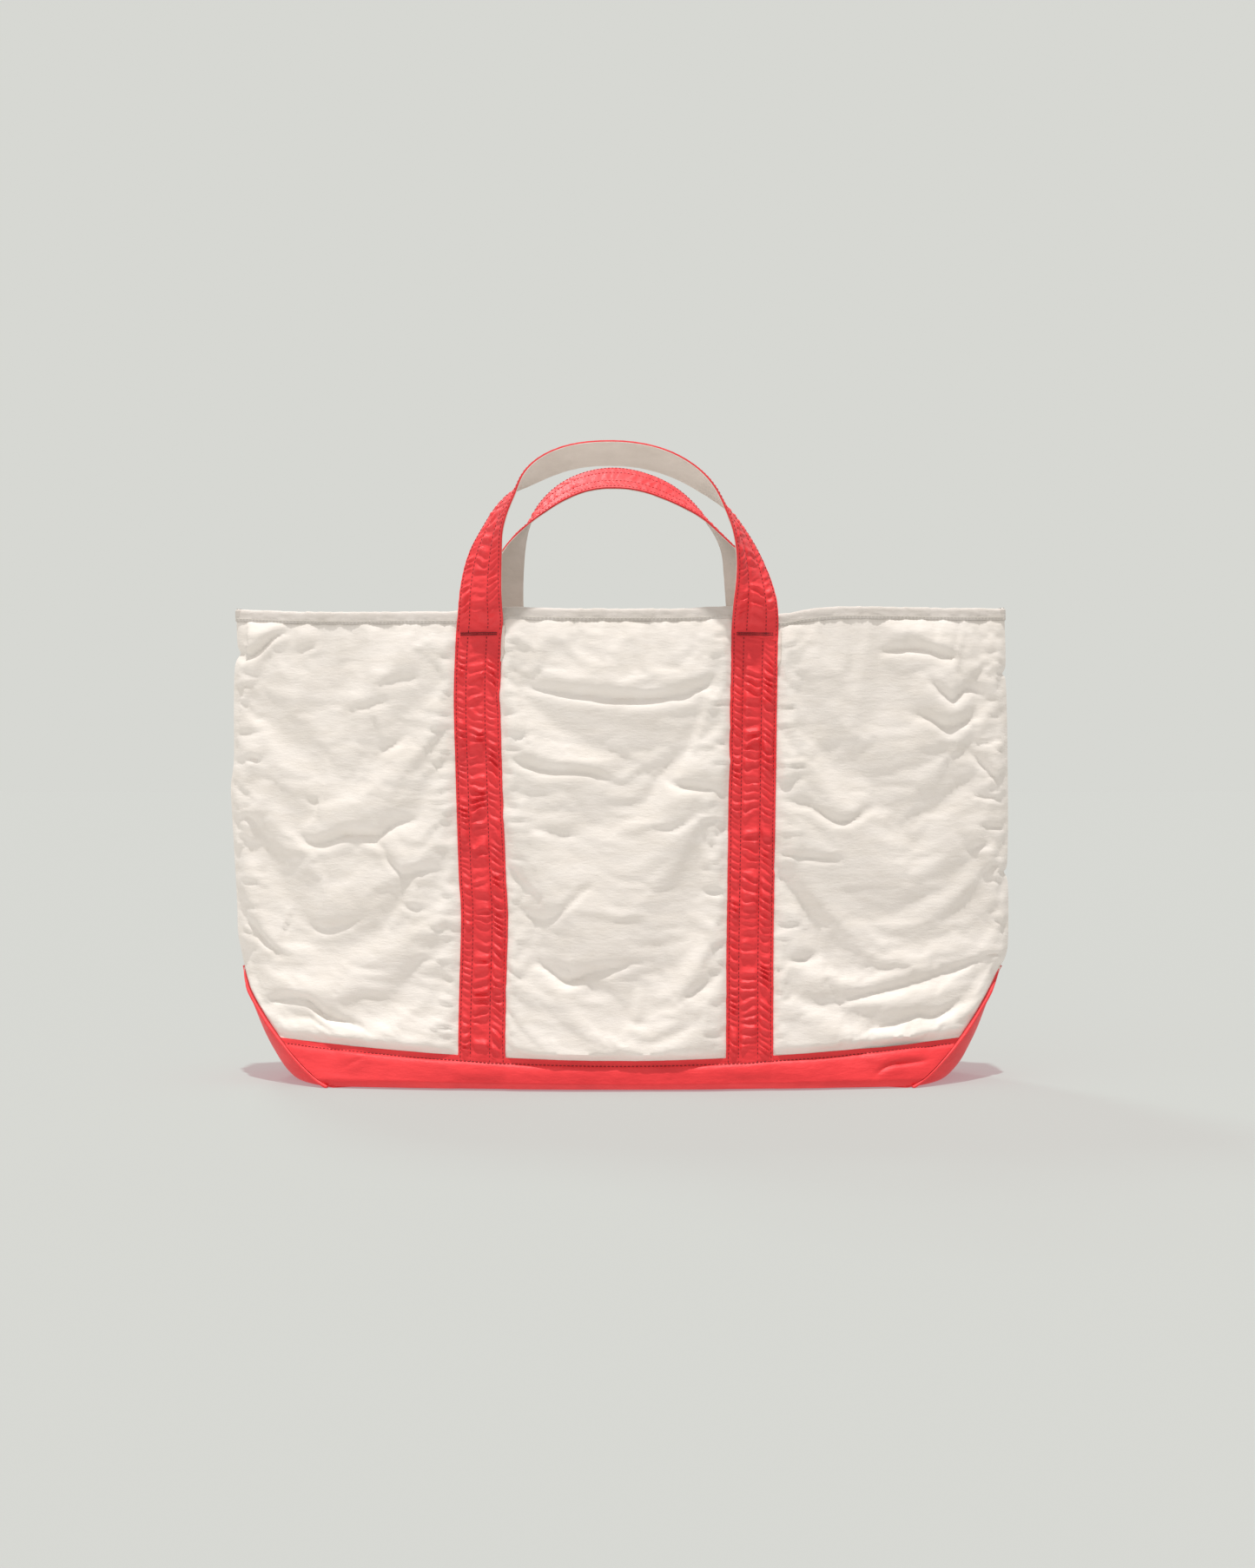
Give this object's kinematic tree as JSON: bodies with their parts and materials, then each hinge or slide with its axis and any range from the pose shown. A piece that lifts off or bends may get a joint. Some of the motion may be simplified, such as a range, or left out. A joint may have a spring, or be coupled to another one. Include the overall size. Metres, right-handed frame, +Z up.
{
  "type": "foldable tote bag",
  "caption": "Soft padded nylon tote with a boat-shaped base, sewn straps and two carrying handles that swing outwards; it presses flat front to back.",
  "frame": {"origin": "on the floor under the middle of the base", "axes": "+Z up, X along the bag's length, -Y the front, +Y the back"},
  "size_m": [0.646, 0.1644, 0.5239],
  "materials": {
    "cream_nylon": "matt crinkled nylon, lightly quilted by its wadding",
    "red_nylon": "matt nylon, folded and topstitched",
    "cream_backing": "matt close-woven tape",
    "rim_tape": "matt gathered binding tape",
    "wadding": "soft polyester wadding",
    "lining": "thin matt nylon",
    "red_thread": "twisted sewing thread"
  },
  "bodies": {
    "root": {"base_panel": "red_nylon", "base_wadding": "wadding", "base_lining": "lining", "left_seam_tape": "rim_tape", "right_seam_tape": "rim_tape"},
    "front_wall": {"front_panel": "cream_nylon", "front_wadding": "wadding", "front_lining": "lining", "front_base_band": "red_nylon", "front_rim_binding": "rim_tape", "front_strap_left": "red_nylon", "front_strap_right": "red_nylon", "front_bartacks": "red_thread"},
    "front_handle": {"front_handle_strap": "red_nylon", "front_handle_backing": "cream_backing"},
    "back_wall": {"back_panel": "cream_nylon", "back_wadding": "wadding", "back_lining": "lining", "back_base_band": "red_nylon", "back_rim_binding": "rim_tape", "back_strap_left": "red_nylon", "back_strap_right": "red_nylon", "back_bartacks": "red_thread"},
    "back_handle": {"back_handle_strap": "red_nylon", "back_handle_backing": "cream_backing"}
  },
  "joints": [
    {"name": "front_flatten", "type": "slide", "parent": "root", "child": "front_wall", "axis": [0, 1, 0], "range_m": [0, 0.039], "deforming": ["base_panel", "base_wadding", "base_lining", "front_panel", "front_wadding", "front_lining", "front_base_band", "front_rim_binding"]},
    {"name": "back_flatten", "type": "slide", "parent": "root", "child": "back_wall", "axis": [0, -1, 0], "range_m": [0, 0.039], "deforming": ["back_panel", "back_wadding", "back_lining", "back_base_band", "back_rim_binding"]},
    {"name": "front_handle_swing", "type": "hinge", "parent": "front_wall", "child": "front_handle", "pos_m": [0, -0.0618, 0.3683], "axis": [1, 0, 0], "range_deg": [-1, 160]},
    {"name": "back_handle_swing", "type": "hinge", "parent": "back_wall", "child": "back_handle", "pos_m": [0, 0.0618, 0.3683], "axis": [-1, 0, 0], "range_deg": [-1, 160]}
  ],
  "couplings": [
    {"joint": "back_flatten", "follows": "front_flatten", "ratio": 1}
  ]
}
